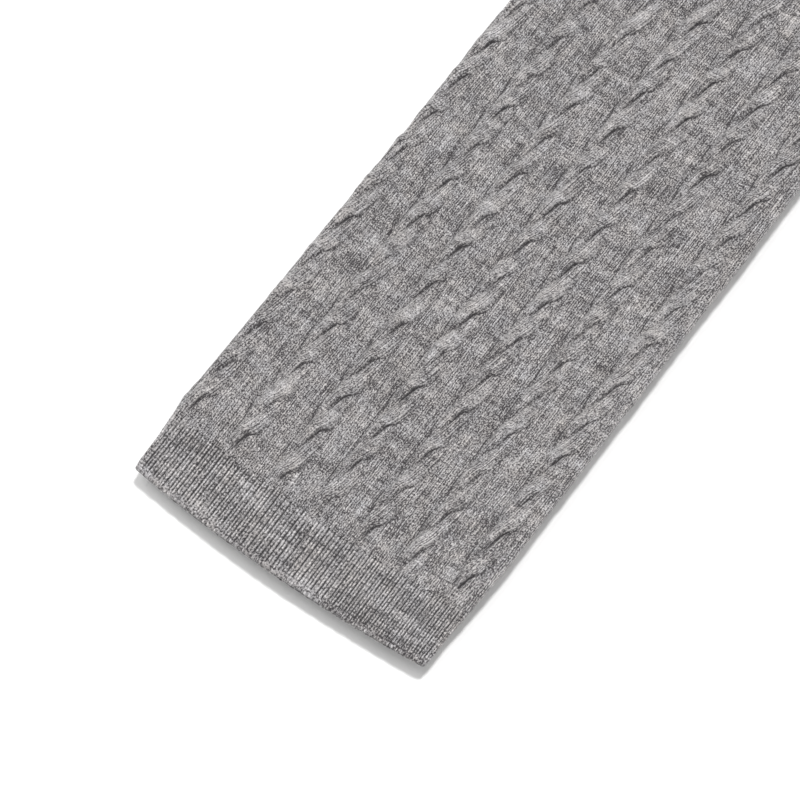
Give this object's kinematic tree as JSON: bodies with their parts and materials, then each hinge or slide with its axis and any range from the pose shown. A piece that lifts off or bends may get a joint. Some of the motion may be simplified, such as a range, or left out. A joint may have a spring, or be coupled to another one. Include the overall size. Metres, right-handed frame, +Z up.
{
  "type": "pair of leg warmers",
  "caption": "Pair of knitted leg warmers laid flat one on the other, each a straight tube with narrow rope cables and ribbed cuffs.",
  "frame": {"origin": "on the surface that the pair lies on, under the middle of the box round it", "axes": "+X across the pair, +Y along it from the ankle hems to the knee hems, +Z up"},
  "size_m": [0.1188, 0.4236, 0.0112],
  "materials": {
    "upper_leg_tube": "matt marled wool knit",
    "upper_ankle_cuff": "matt marled wool rib",
    "upper_knee_cuff": "matt marled wool rib",
    "lower_leg_tube": "matt marled wool knit",
    "lower_ankle_cuff": "matt marled wool rib",
    "lower_knee_cuff": "matt marled wool rib"
  },
  "bodies": {
    "root": {"upper_leg_tube": "upper_leg_tube", "upper_ankle_cuff": "upper_ankle_cuff", "upper_knee_cuff": "upper_knee_cuff", "lower_leg_tube": "lower_leg_tube", "lower_ankle_cuff": "lower_ankle_cuff", "lower_knee_cuff": "lower_knee_cuff"}
  },
  "joints": []
}
